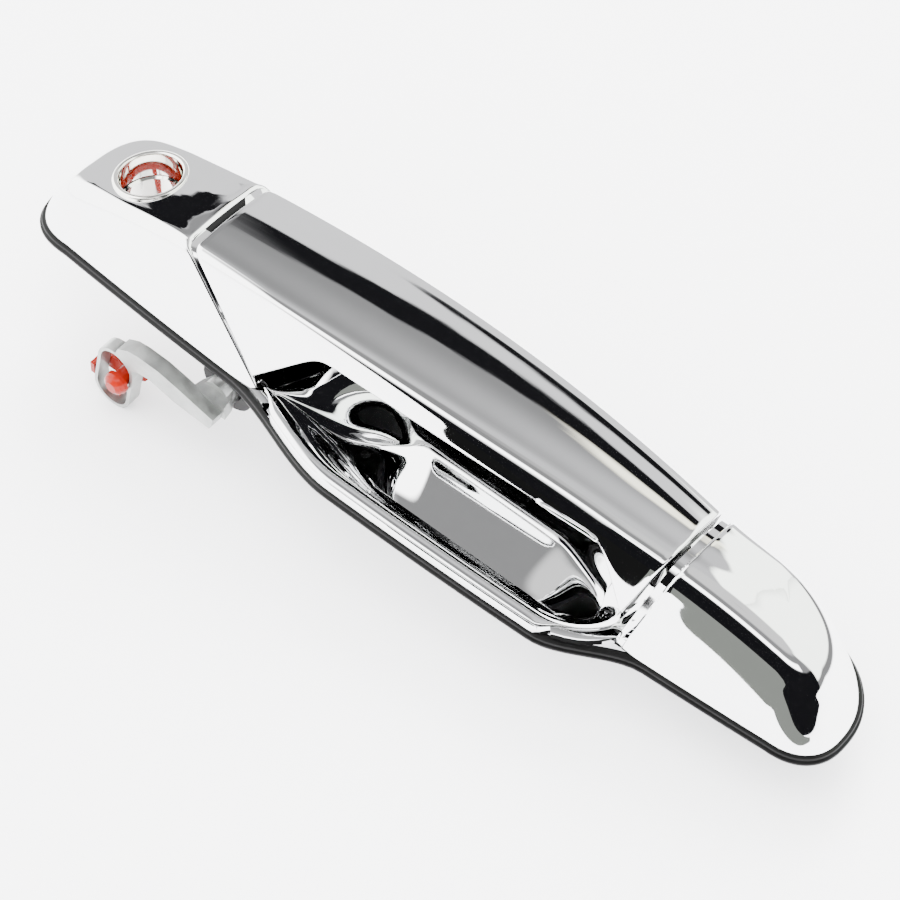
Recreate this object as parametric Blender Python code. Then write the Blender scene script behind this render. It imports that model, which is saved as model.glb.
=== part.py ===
"""Flap-type exterior car door handle with a lock bore, a bellcrank lever and its door gasket.

X runs along the handle (lock end at -X), +Y is the hinged upper side, and +Z points away from
the door. Z = 0 is the underside of the bright housing, where it presses on the gasket.
Lengths in this file are in millimetres; MM turns them into metres when a mesh is made, and
DATUM moves the middle of the gasket's rear edge, where the handle rests on the door, to zero.
"""

import math

import bmesh
import bpy
from mathutils import Matrix, Vector

MM = 0.001
DATUM = (0.0, -27.9, 2.8)       # shift of every piece, so that the door-side datum is at zero
WALL = 2.5                      # wall of the bright housing
GAP = 0.35                      # clearance between neighbouring pieces

# Outer form of the handle
BASE_X0, BASE_X1 = -131.0, 128.9
CREST_X0, CREST_X1 = -123.0, 119.5
BASE_MIDS, CREST_MIDS = (-2.0, -5.0), (0.0, -1.0)   # middle of each end, left and right
WALL_LEAN = 4.5                 # how far the rear wall leans in
FACE_FALL = 0.09                # fall of the front face towards +Y, per millimetre
LEFT_FULL, RIGHT_FULL = 0.76, 0.88   # 1 gives an ellipse; less gives a squarer end
BELLY = 9.6                     # how far the scoop's rim stands out past the front wall

# Gaps between the paddle and the two ends of the housing
GAP_X0, GAP_X1, GAP_Z = -78.4, 77.0, 27.0
LEFT_LEAN, RIGHT_LEAN = 1.19, 0.27
LEDGE, LEDGE_DEPTH = 2.3, 1.0   # bright step beside the right gap
PADDLE_GAP = 0.9
OPEN_ANGLE = math.radians(22.5)  # a little more than the paddle's travel

# Finger bowl
TRAY_Z = 2.5                    # floor of the hinge bay
RIM_Z = 2.9                     # front rim of the bowl
BOWL_WALL_Z = 13.0              # top of the bowl's rear wall
BOWL_FLOOR_Z = -9.5

# Paddle and its hinge
SKIN = 2.0
FLANGE_Z = 8.5
HINGE_Y, HINGE_Z = 14.8, 9.0
PIN_R, PIN_HOLE_R, KNUCKLE_R = 1.5, 1.85, 3.2
PIN_X0, PIN_X1 = -54.5, 66.9
LUGS = ((-52.0, -48.5), (9.0, 12.5), (61.5, 65.0))
KNUCKLES = ((-48.1, -32.0), (-8.0, 8.6), (40.0, 61.1))
CARRIER_Z = 15.5
SCREWS = ((-48.0, 3.0), (-6.0, 3.0), (16.0, 3.0), (58.0, 3.0))
PUSH_X0, PUSH_X1 = -41.0, -37.0

# Lock bore
LOCK_X, LOCK_Y = -103.5, 4.4
LOCK_R, SLEEVE_R, LOCK_HOLE_R = 8.4, 9.3, 9.65

# Bellcrank lever, which turns about a line along Y
LEVER_X, LEVER_Z = -62.0, -14.0
SHAFT_R, BUSH_R, BEARING_R = 4.5, 6.0, 6.35
LEVER_Y0, LEVER_Y1 = -25.0, -20.6
EYE_X, EYE_Z, EYE_TILT = -93.2, -26.4, 11.0   # middle of the eye and its lean, in degrees
CLIP_X, CLIP_Z = -90.6, -24.8

# Fixings
STUDS = ((-84.4, 6.0), (98.0, 2.0))
STUD_R, STUD_END_Z = 3.0, -21.0
GASKET_Z = -2.8


def smooth(t):
    """Smooth step from 0 to 1."""
    t = min(1.0, max(0.0, t))
    return t * t * (3.0 - 2.0 * t)


def front_line(x):
    """Foot of the front wall."""
    return -19.5 + 5.5 * ((x - 10.0) / 135.0) ** 2


def belly_line(x):
    """Foot of the front wall, with the bulge of the scoop's rim."""
    return front_line(x) - BELLY * smooth((x + 58.0) / 44.0) * smooth((80.0 - x) / 28.0)


def rear_edge(x):
    """Rear edge of the face: a long bow between the gaps, nearly straight beyond them."""
    if x < GAP_X0:
        return 19.8 - 0.54 * (1.0 - math.exp((x - GAP_X0) / 5.0))
    if x > GAP_X1:
        return 15.8 - 0.03 * (x - GAP_X1) - 0.7 * (1.0 - math.exp((GAP_X1 - x) / 5.0))
    return 23.4 - (0.00082 if x < -12.0 else 0.00096) * (x + 12.0) ** 2


def back_line(x):
    """Foot of the rear wall."""
    return rear_edge(x) + WALL_LEAN


def crest_line(x):
    """Front edge of the face."""
    return -8.0 + 0.016 * x


def crest_height(x):
    """Height of the front edge: a long crown that drops towards both ends."""
    if x < GAP_X0:
        d = GAP_X0 - x
        return GAP_Z - 0.25 * d + 1.7 * (1.0 - math.exp(-d / 8.0))
    if x > GAP_X1:
        d = x - GAP_X1
        return GAP_Z - 0.039 * d - 0.0035 * d * d
    return GAP_Z + 1.5 * (1.0 - (x / 77.25) ** 2)


def face_height(x, y):
    """Height of the front face."""
    return crest_height(x) - FACE_FALL * (y + 8.0)


def crest_round(x):
    """Size of the rounding along the crest, which softens from the lock end to the plain end."""
    return 4.8 + 2.7 * smooth((x + 78.0) / 155.0) + 2.2 * smooth((-x - 100.0) / 18.0)


def bay_drop(y, z):
    """How far a point lies below the knee of the two gap planes."""
    return max(0.0, GAP_Z - FACE_FALL * (y + 8.0) - z)


def left_edge(y, z):
    return GAP_X0 + LEFT_LEAN * bay_drop(y, z)


def right_edge(y, z):
    return GAP_X1 - RIGHT_LEAN * bay_drop(y, z)


# ---------------------------------------------------------------- mesh helpers

def material(name, colour, roughness, metallic):
    """A Principled material with plain values."""
    mat = bpy.data.materials.new(name)
    mat.use_nodes = True
    shader = mat.node_tree.nodes["Principled BSDF"]
    shader.inputs["Base Color"].default_value = (*colour, 1.0)
    shader.inputs["Roughness"].default_value = roughness
    shader.inputs["Metallic"].default_value = metallic
    mat.diffuse_color = (*colour, 1.0)
    return mat


def mesh_object(name, verts, faces, mat=None, origin=(0.0, 0.0, 0.0)):
    """An object from points in millimetres, with its origin at a joint or at the datum."""
    at = Vector(origin)
    mesh = bpy.data.meshes.new(name)
    mesh.from_pydata([(Vector(v) - at) * MM for v in verts], [], faces)
    bm = bmesh.new()
    bm.from_mesh(mesh)
    bmesh.ops.remove_doubles(bm, verts=bm.verts, dist=1e-6)
    bmesh.ops.recalc_face_normals(bm, faces=bm.faces)
    bmesh.ops.triangulate(bm, faces=bm.faces)
    bm.to_mesh(mesh)
    bm.free()
    obj = bpy.data.objects.new(name, mesh)
    obj.location = (at + Vector(DATUM)) * MM
    bpy.context.scene.collection.objects.link(obj)
    if mat:
        mesh.materials.append(mat)
    return obj


def tool_object(name, parts):
    """A hidden solid for a Boolean, made of one or more (verts, faces) parts."""
    verts, faces = [], []
    for part_verts, part_faces in parts:
        start = len(verts)
        verts += [tuple(v) for v in part_verts]
        faces += [tuple(i + start for i in f) for f in part_faces]
    obj = mesh_object(name, verts, faces)
    obj.hide_render = True
    obj.display_type = "WIRE"
    return obj


def boolean(obj, tool, operation, solver="EXACT"):
    """Add a Boolean modifier; MANIFOLD serves where the exact solver leaves open edges."""
    mod = obj.modifiers.new(operation.lower(), "BOOLEAN")
    mod.operation = operation
    mod.solver = solver
    mod.object = tool


def cap(n, start, flip):
    """Close a ring whose two halves mirror each other, with faces across it."""
    faces = []
    for i in range(n // 2):
        j, k = (n - i) % n, n - i - 1
        ring = [start + i, start + i + 1, start + k, start + j]
        quad = list(dict.fromkeys(ring))
        faces.append(quad[::-1] if flip else quad)
    return faces


def loft(rings):
    """A closed solid through rings of the same count."""
    n = len(rings[0])
    verts = [p for ring in rings for p in ring]
    faces = []
    for r in range(len(rings) - 1):
        for i in range(n):
            j = (i + 1) % n
            faces.append((r * n + i, r * n + j, (r + 1) * n + j, (r + 1) * n + i))
    faces += cap(n, 0, True) + cap(n, (len(rings) - 1) * n, False)
    return verts, faces


def box(x0, x1, y0, y1, z0, z1):
    """A plain block between two corners."""
    verts = [(x, y, z) for x in (x0, x1) for y in (y0, y1) for z in (z0, z1)]
    faces = [(0, 1, 3, 2), (4, 6, 7, 5), (0, 4, 5, 1), (2, 3, 7, 6), (0, 2, 6, 4), (1, 5, 7, 3)]
    return verts, faces


def circle(axis, centre, r, at, n, bore_up=None):
    """A ring of points about an axis; bore_up slopes its height with x."""
    points = []
    for i in range(n):
        a = 2.0 * math.pi * i / n
        u, v = r * math.cos(a), r * math.sin(a)
        if axis == "x":
            points.append((at, centre[0] + u, centre[1] + v))
        elif axis == "y":
            points.append((centre[0] + u, at, centre[1] + v))
        else:
            x, y = centre[0] + u, centre[1] + v
            points.append((x, y, at + (bore_up(x, y) if bore_up else 0.0)))
    return points


def rod(axis, centre, steps, n=24):
    """A turned solid from (radius, place along the axis) steps."""
    return loft([circle(axis, centre, r, at, n) for r, at in steps])


def turned_ring(axis, centre, profile, n=24):
    """A ring whose section is a closed list of (radius, place) points."""
    rings = [circle(axis, centre, r, at, n) for r, at in profile]
    verts = [p for ring in rings for p in ring]
    faces = []
    m = len(rings)
    for k in range(m):
        for i in range(n):
            j = (i + 1) % n
            a, b = k * n, ((k + 1) % m) * n
            faces.append((a + i, a + j, b + j, b + i))
    return verts, faces


def extruded(points, axis, lo, hi):
    """A prism: outline points in the plane across the axis, from lo to hi."""
    n = len(points)

    def place(p, at):
        return (at, p[0], p[1]) if axis == "x" else (p[0], at, p[1]) if axis == "y" else (*p, at)

    verts = [place(p, lo) for p in points] + [place(p, hi) for p in points]
    faces = [tuple(range(n)), tuple(range(2 * n - 1, n - 1, -1))]
    faces += [(i, (i + 1) % n, n + (i + 1) % n, n + i) for i in range(n)]
    return verts, faces


def clip_outline(centre, r_in, r_out, mouth, n=14):
    """A flat C: the outline of a snap ring, open by the mouth angle towards +v."""
    lo, hi = math.pi / 2 + mouth / 2, math.pi / 2 + 2 * math.pi - mouth / 2
    arc = [lo + (hi - lo) * i / n for i in range(n + 1)]
    outer = [(centre[0] + r_out * math.cos(a), centre[1] + r_out * math.sin(a)) for a in arc]
    inner = [(centre[0] + r_in * math.cos(a), centre[1] + r_in * math.sin(a)) for a in arc[::-1]]
    return outer + inner


def wire(path, r, n=6):
    """A round wire along a path of points."""
    path = [Vector(p) for p in path]
    rings, side = [], None
    for i, p in enumerate(path):
        ahead = (path[min(i + 1, len(path) - 1)] - path[max(i - 1, 0)]).normalized()
        if side is None:
            side = ahead.orthogonal().normalized()
        side = (side - ahead * side.dot(ahead)).normalized()
        up = ahead.cross(side)
        rings.append([tuple(p + side * r * math.cos(2 * math.pi * k / n)
                            + up * r * math.sin(2 * math.pi * k / n)) for k in range(n)])
    return loft(rings)


# ---------------------------------------------------------------- outline of the handle

def half_outline(x0, x1, mids, edge, reach0, reach1, corner=8, length=20):
    """From the middle of one end to the middle of the other, along the front or the back."""

    def quarter(end, reach, mid_y, full, i):
        a = math.pi / 2 * i / corner
        y = edge(end + reach)
        return (end + reach * (1.0 - math.cos(a) ** full), mid_y + (y - mid_y) * math.sin(a) ** full)

    points = [quarter(x0, reach0, mids[0], LEFT_FULL, i) for i in range(corner)]
    for i in range(length + 1):
        x = x0 + reach0 + (x1 - reach1 - x0 - reach0) * i / length
        points.append((x, edge(x)))
    return points + [quarter(x1, -reach1, mids[1], RIGHT_FULL, i) for i in range(corner - 1, -1, -1)]


def outline(x0, x1, mids, front, back, reaches, **counts):
    """A closed plan outline; reaches are front-left, front-right, back-left, back-right."""
    near = half_outline(x0, x1, mids, front, reaches[0], reaches[1], **counts)
    far = half_outline(x0, x1, mids, back, reaches[2], reaches[3], **counts)
    return near + far[-2:0:-1]


def foot_outline(grow, front=front_line, **counts):
    """Outline of the housing's foot, grown outwards."""
    reaches = [r + grow for r in (14.0, 13.0, 22.0, 33.0)]
    return outline(BASE_X0 - grow, BASE_X1 + grow, BASE_MIDS, lambda x: front(x) - grow,
                   lambda x: back_line(x) + grow, reaches, **counts)


def crest_outline(grow):
    """Outline of the face where its extended surface meets the walls."""
    reaches = [r + grow for r in (8.0, 10.0, 15.0, 26.0)]
    return outline(CREST_X0 - grow, CREST_X1 + grow, CREST_MIDS, lambda x: crest_line(x) - grow,
                   lambda x: rear_edge(x) + grow, reaches)


def envelope(grow, foot_z):
    """The handle's whole outer form as a solid, grown or shrunk by an even amount."""
    foot, crest = foot_outline(grow), crest_outline(grow)
    inner = outline(CREST_X0 + 14, CREST_X1 - 16, (4.0, 3.0), lambda x: crest_line(x) + 9,
                    lambda x: rear_edge(x) - 10.0, (4.0, 4.0, 6.0, 6.0))
    columns = []
    for f, c, m in zip(foot, crest, inner):
        base = Vector((f[0], f[1], foot_z))
        corner = Vector((c[0], c[1], face_height(*c) + grow))
        centre = Vector((m[0], m[1], face_height(*m) + grow))
        rear_round = 4.5 + 2.5 * smooth((abs(c[0]) - 100.0) / 18.0)
        round_off = crest_round(c[0]) + (rear_round - crest_round(c[0])) * smooth((c[1] + 8.0) / 16.0)
        low = corner + (base - corner).normalized() * round_off
        high = corner + (centre - corner).normalized() * round_off
        fillet = [low.lerp(corner, t).lerp(corner.lerp(high, t), t) for t in (0, .25, .5, .75, 1)]
        columns.append([base] + fillet + [high.lerp(centre, 0.5), centre])
    return loft([[tuple(col[k]) for col in columns] for k in range(len(columns[0]))])


def bay_block(spread, floor_z, ledge=0.0):
    """The space between the two gap planes, above a floor; spread widens it, ledge only the right side."""
    section = [(-45.0, floor_z), (45.0, floor_z)]
    knee = [(45.0, GAP_Z - FACE_FALL * 53.0), (-45.0, GAP_Z + FACE_FALL * 37.0)]
    top = [(45.0, 60.0), (-45.0, 60.0)]
    left = spread * math.hypot(1.0, LEFT_LEAN)
    right = spread * math.hypot(1.0, RIGHT_LEAN) + ledge
    verts = [(left_edge(y, z) - left, y, z) for y, z in section + knee + top]
    verts += [(right_edge(y, z) + right, y, z) for y, z in section + knee + top]
    faces = [(0, 1, 2, 3), (3, 2, 4, 5), (6, 9, 8, 7), (9, 11, 10, 8), (0, 6, 7, 1),
             (1, 7, 8, 2), (2, 8, 10, 4), (4, 10, 11, 5), (5, 11, 9, 3), (3, 9, 6, 0)]
    return verts, faces


# ---------------------------------------------------------------- finger bowl

def bowl_ring(x0, x1, front, back, height, n=36):
    """A closed plan ring between a front and a rear curve that meet at both ends."""
    xs = [x0 + (x1 - x0) * (0.5 - 0.5 * math.cos(math.pi * i / n)) for i in range(n + 1)]
    near = [(x, front(x)) for x in xs]
    far = [(x, back(x)) for x in xs[-2:0:-1]]
    return [(x, y, height(y)) for x, y in near + far]


def bowl_rim(grow, drop=0.0):
    """Rim of the bowl: low along the front, high along the rear wall."""
    x0, x1 = -45.2 - grow, 68.2 + grow

    def front(x):
        end = max(0.0, (x - (x1 - 9.0)) / 9.0)
        return belly_line(x) + 3.2 - grow + 5.0 * (1.0 - math.sqrt(max(0.0, 1.0 - end * end)))

    def back(x):
        start = smooth((x - x0) / 26.0)
        end = max(0.0, (x - (x1 - 5.0)) / 5.0)
        close = math.sqrt(max(0.0, 1.0 - end * end))
        plateau = front(x0) + (5.4 + grow - front(x0)) * start
        return front(x) + (plateau - front(x)) * close

    def height(y):
        return RIM_Z + (BOWL_WALL_Z - RIM_Z) * smooth((y + 13.0) / 17.0) - drop

    return bowl_ring(x0, x1, front, back, height)


def bowl_floor(grow, z):
    """Flat floor of the bowl."""
    x0, x1 = -20.0 - grow, 57.0 + grow

    def half(x):
        u = (2.0 * x - x0 - x1) / (x1 - x0)
        return (8.0 + grow) * math.sqrt(max(0.0, 1.0 - u ** 4))

    return bowl_ring(x0, x1, lambda x: -10.0 - half(x), lambda x: -10.0 + half(x), lambda y: z)


def bowl_side(rim, floor, steps):
    """Rings from rim to floor along a soft S."""
    rings = []
    for k in range(1, steps):
        t = k / steps
        rings.append([(a[0] + (b[0] - a[0]) * t, a[1] + (b[1] - a[1]) * t,
                       a[2] + (b[2] - a[2]) * smooth(t)) for a, b in zip(rim, floor)])
    return rings


def bowl_shell():
    """The bowl as one closed shell: outside, rim, inside."""
    rim_in, rim_out = bowl_rim(0.0), bowl_rim(3.2)
    rim_low = bowl_rim(3.2, RIM_Z - 0.6)
    floor_in, floor_out = bowl_floor(0.0, BOWL_FLOOR_Z), bowl_floor(1.2, BOWL_FLOOR_Z - 2.4)
    outside = bowl_side(rim_low, floor_out, 5)
    inside = bowl_side(rim_in, floor_in, 12)
    return loft([floor_out] + outside[::-1] + [rim_low, rim_out, rim_in] + inside + [floor_in])


def bowl_cutter():
    """Opens the tray under the bowl; it stays inside the bowl shell's wall."""
    rim, floor = bowl_rim(1.6), bowl_floor(0.6, BOWL_FLOOR_Z - 1.2)
    lift = [(x, y, z + 40.0) for x, y, z in rim]
    return loft([floor] + bowl_side(rim, floor, 6)[::-1] + [rim, lift])


# ---------------------------------------------------------------- fixed pieces

def lug(x0, x1):
    """A hinge lug standing on the tray, round about the pin."""
    arc = [(HINGE_Y + KNUCKLE_R * math.cos(math.pi * i / 8),
            HINGE_Z + KNUCKLE_R * math.sin(math.pi * i / 8)) for i in range(9)]
    return extruded(arc + [(HINGE_Y - KNUCKLE_R, 1.2), (HINGE_Y + KNUCKLE_R, 1.2)], "x", x0, x1)


def build_housing(mat):
    """Bright housing: both ends, bowl, hinge lugs, stud posts and lever bearing in one moulding."""
    housing = mesh_object("housing", *envelope(0.0, 0.0), mat)
    hollow = tool_object("tool_end_hollows", [envelope(-WALL, -1.0)])
    boolean(hollow, tool_object("tool_bay_wide", [bay_block(WALL, -5.0)]), "DIFFERENCE")
    bay = tool_object("tool_bay", [bay_block(0.0, TRAY_Z)])
    ledge = tool_object("tool_ledge", [bay_block(0.0, 8.0, LEDGE)])
    boolean(ledge, tool_object("tool_ledge_floor", [envelope(-LEDGE_DEPTH, -1.0)]), "DIFFERENCE", "MANIFOLD")
    bearing = extruded([(-70.0, -22.0), (-54.5, -22.0), (-54.5, 5.5), (-70.0, 18.6)], "y", -12.0, -4.0)
    posts = [rod("z", (x, y), [(6.5, -1.5), (6.0, face_height(x, y) - 1.3)]) for x, y in STUDS]
    lock_post = rod("z", (LOCK_X, LOCK_Y), [(11.8, 4.0), (12.0, face_height(LOCK_X, LOCK_Y) - 3.2)], 32)
    lugs = [lug(*span) for span in LUGS]
    solids = tool_object("tool_bosses", lugs + posts + [lock_post, bearing])
    pin_hole = rod("x", (HINGE_Y, HINGE_Z), [(PIN_HOLE_R, PIN_X0 - 1.4), (PIN_HOLE_R, PIN_X1 + 0.3)], 16)
    stud_holes = [rod("z", p, [(STUD_R + GAP, -8.0), (STUD_R + GAP, 9.4)], 16) for p in STUDS]
    lock_hole = rod("z", (LOCK_X, LOCK_Y), [(LOCK_HOLE_R, -5.0), (LOCK_HOLE_R, 40.0)], 40)
    shaft_hole = rod("y", (LEVER_X, LEVER_Z), [(BEARING_R, -15.0), (BEARING_R, -1.0)])
    window = box(-43.0, -35.0, 2.0, 13.4, -3.0, 6.0)
    holes = tool_object("tool_holes", stud_holes + [pin_hole, lock_hole, shaft_hole, window])
    steps = [(hollow, "DIFFERENCE"), (bay, "DIFFERENCE"), (ledge, "DIFFERENCE"),
             (tool_object("tool_bowl_opening", [bowl_cutter()]), "DIFFERENCE"),
             (tool_object("tool_bowl", [bowl_shell()]), "UNION"), (solids, "UNION"),
             (holes, "DIFFERENCE")]
    for tool, operation in steps:
        boolean(housing, tool, operation, "MANIFOLD")
    return housing


def build_gasket(mat):
    """Rubber gasket round the foot, with a stepped outer side."""
    rings = []
    for grow, z in ((1.5, GASKET_Z), (1.5, -1.6), (0.9, -1.3), (0.9, -0.3), (-1.3, -0.3), (-1.3, GASKET_Z)):
        rings.append([(x, y, z) for x, y in foot_outline(grow, belly_line, length=34)])
    n, m = len(rings[0]), len(rings)
    verts = [p for ring in rings for p in ring]
    faces = []
    for k in range(m):
        for i in range(n):
            a, b, j = k * n, ((k + 1) % m) * n, (i + 1) % n
            faces.append((a + i, a + j, b + j, b + i))
    return mesh_object("gasket", verts, faces, mat)


def sleeve_top(x, y):
    """Height of the lock sleeve's lip, which follows the sloping face."""
    slope = (face_height(LOCK_X + 8, LOCK_Y) - face_height(LOCK_X - 8, LOCK_Y)) / 16.0
    return face_height(LOCK_X, LOCK_Y) + slope * (x - LOCK_X) - FACE_FALL * (y - LOCK_Y)


def build_lock_sleeve(mat):
    """Liner of the lock bore: a tube with an inner step and a sloping lip."""
    centre, n = (LOCK_X, LOCK_Y), 40
    rings = [circle("z", centre, SLEEVE_R, 3.2, n),
             circle("z", centre, SLEEVE_R, 0.7, n, sleeve_top),
             circle("z", centre, LOCK_R, 0.7, n, sleeve_top),
             circle("z", centre, LOCK_R, -8.0, n, sleeve_top),
             circle("z", centre, LOCK_R - 0.7, -8.6, n, sleeve_top),
             circle("z", centre, LOCK_R - 0.7, 3.2, n)]
    verts = [p for ring in rings for p in ring]
    faces = []
    for k in range(len(rings)):
        for i in range(n):
            a, b, j = k * n, ((k + 1) % len(rings)) * n, (i + 1) % n
            faces.append((a + i, a + j, b + j, b + i))
    return mesh_object("lock_sleeve", verts, faces, mat)


def build_lock_retainer(mat):
    """Plastic ring that holds the lock barrel from behind."""
    profile = [(6.6, -1.5), (11.4, -1.5), (11.4, 2.8), (6.6, 2.8)]
    return mesh_object("lock_retainer", *turned_ring("z", (LOCK_X, LOCK_Y), profile, 32), mat)


def build_stud(name, x, y, mat):
    """Stud with a hexagonal collar under its post."""
    hexagon = [(x + 5.6 * math.cos(math.pi / 3 * i), y + 5.6 * math.sin(math.pi / 3 * i)) for i in range(6)]
    stud = mesh_object(name, *rod("z", (x, y), [(2.3, STUD_END_Z), (STUD_R, STUD_END_Z + 0.8),
                                                (STUD_R, 9.0)], 16), mat)
    collar = tool_object("tool_" + name, [extruded(hexagon, "z", -5.2, -1.9)])
    boolean(stud, collar, "UNION")
    return stud


def build_bumper(name, x, mat):
    """Rubber stop under the paddle."""
    steps = [(2.3, TRAY_Z + GAP), (2.3, 5.0), (1.9, 6.0), (1.8, 14.0), (1.2, 14.8)]
    return mesh_object(name, *rod("z", (x, 11.0), steps, 16), mat)


def coil(turns, radius, length, steps, place, start_turn=0.0):
    """Points of a helix, put in place by a function of (u, v, along)."""
    count = int(turns * steps)
    points = []
    for i in range(count + 1):
        a = 2 * math.pi * (start_turn + i / steps)
        points.append(place(radius * math.cos(a), radius * math.sin(a), length * i / count))
    return points


def build_paddle_spring(mat):
    """Torsion spring on the hinge pin, with one leg on the tray and one under the paddle."""
    x0, turns = 15.0, 6.75
    turn = coil(turns, 2.6, 13.5, 12, lambda u, v, w: (x0 + w, HINGE_Y + u, HINGE_Z + v), 0.5)
    leg_tray = [(x0, HINGE_Y - 2.6, TRAY_Z + 1.0), (x0, HINGE_Y - 2.6, 6.5)]
    leg_paddle = [(x0 + 13.5, HINGE_Y - 2.4, HINGE_Z + 3.2), (x0 + 13.5, 9.6, HINGE_Z + 4.6)]
    return mesh_object("paddle_spring", *wire(leg_tray + turn + leg_paddle, 0.6), mat)


def build_lever_spring(mat):
    """Torsion spring round the lever's shaft, between the bearing and the crank."""
    y0 = -3.0
    turn = coil(2.25, 6.2, 3.1, 16, lambda u, v, w: (LEVER_X + u, y0 + w, LEVER_Z + v), 0.25)
    return mesh_object("lever_spring", *wire(turn, 0.55), mat)


# ---------------------------------------------------------------- paddle

def wall_point(x, z):
    """A point on the front wall at a given height."""
    top = crest_height(x)
    return Vector((x, front_line(x) + (crest_line(x) - front_line(x)) * z / top, z))


def skirt_low(t):
    """Lower edge of the paddle's skirt (x, z), from its left tip to its right tip."""
    knots = ((0.0, -49.0, 4.4), (0.05, -42.8, 10.8), (0.10, -35.0, 17.6), (0.15, -27.5, 20.2),
             (0.5, 10.0, 21.3), (0.85, 52.0, 21.0), (0.90, 59.0, 19.0), (0.95, 64.5, 13.7),
             (1.0, 68.6, 8.4))
    for (t0, x0, z0), (t1, x1, z1) in zip(knots, knots[1:]):
        if t <= t1:
            k = (t - t0) / (t1 - t0)
            return x0 + (x1 - x0) * k, z0 + (z1 - z0) * k
    return knots[-1][1:]


def skin_column(t):
    """One section of the paddle's skin, from the rear flange to the skirt's lower edge."""
    low_x, low_z = skirt_low(t)
    top_x = GAP_X0 + (GAP_X1 - GAP_X0) * t
    crest = Vector((top_x, crest_line(top_x), crest_height(top_x)))
    rear = Vector((top_x, rear_edge(top_x), face_height(top_x, rear_edge(top_x))))
    heel_x = left_edge(24.0, FLANGE_Z) * (1 - t) + right_edge(24.0, FLANGE_Z) * t
    heel = Vector((heel_x, back_line(heel_x) - WALL_LEAN * FLANGE_Z / rear.z, FLANGE_Z))
    low = wall_point(low_x, low_z)
    points = [heel, heel.lerp(rear, 0.5)]
    for corner, before, after, size in ((rear, heel, crest, 4.5), (crest, rear, low, 0.9 * crest_round(top_x))):
        a = corner + (before - corner).normalized() * size
        b = corner + (after - corner).normalized() * size
        points += [a.lerp(corner, s).lerp(corner.lerp(b, s), s) for s in (0, .25, .5, .75, 1)]
        if corner is rear:
            points += [b.lerp(crest, s) for s in (0.3, 0.62)]
    start = points[-1]
    for k in (0.33, 0.67, 1.0):
        x, z = start.x + (low.x - start.x) * k, start.z + (low.z - start.z) * k
        points.append(wall_point(x, z))
    return points


def swung_back(tool):
    """Turn a tool back by the paddle's full travel, so what it trims stays clear when open."""
    about = Matrix.Translation((Vector((0.0, HINGE_Y, HINGE_Z)) + Vector(DATUM)) * MM)
    tool.matrix_world = about @ Matrix.Rotation(OPEN_ANGLE, 4, "X") @ about.inverted() @ tool.matrix_basis
    return tool


def build_paddle_skin(mat):
    """Bright skin of the paddle with four screw posts inside."""
    columns = [skin_column(i / 40) for i in range(41)]
    m, n = len(columns[0]), len(columns)
    outer = [p for col in columns for p in col]
    faces = []
    for i in range(n - 1):
        for k in range(m - 1):
            faces.append((i * m + k, i * m + k + 1, (i + 1) * m + k + 1, (i + 1) * m + k))
    at = Vector((0.0, HINGE_Y, HINGE_Z))
    skin = mesh_object("paddle_skin", outer, faces, mat, at)
    bm = bmesh.new()
    bm.from_mesh(skin.data)
    up = sum((f.normal.z * f.calc_area() for f in bm.faces))
    if up < 0:
        bmesh.ops.reverse_faces(bm, faces=bm.faces)
    bm.to_mesh(skin.data)
    bm.free()
    solid = skin.modifiers.new("wall", "SOLIDIFY")
    solid.thickness = SKIN * MM
    solid.offset = -1.0
    solid.use_even_offset = True
    posts, bores = [], []
    for x, y in SCREWS:
        top = face_height(x, y)
        posts.append(rod("z", (x, y), [(2.6, top - 5.4), (2.6, top - 1.0)], 16))
        bores.append(rod("z", (x, y), [(1.5, top - 9.0), (1.5, top - 1.6)], 12))
    room = tool_object("tool_paddle_room", [bay_block(-PADDLE_GAP, -5.0)])
    boolean(skin, room, "INTERSECT")
    swing = swung_back(tool_object("tool_swing_room", [bay_block(-PADDLE_GAP, -60.0)]))
    boolean(skin, swing, "INTERSECT")
    boolean(skin, tool_object("tool_screw_posts", posts), "UNION")
    boolean(skin, tool_object("tool_screw_bores", bores), "DIFFERENCE")
    return skin


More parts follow.
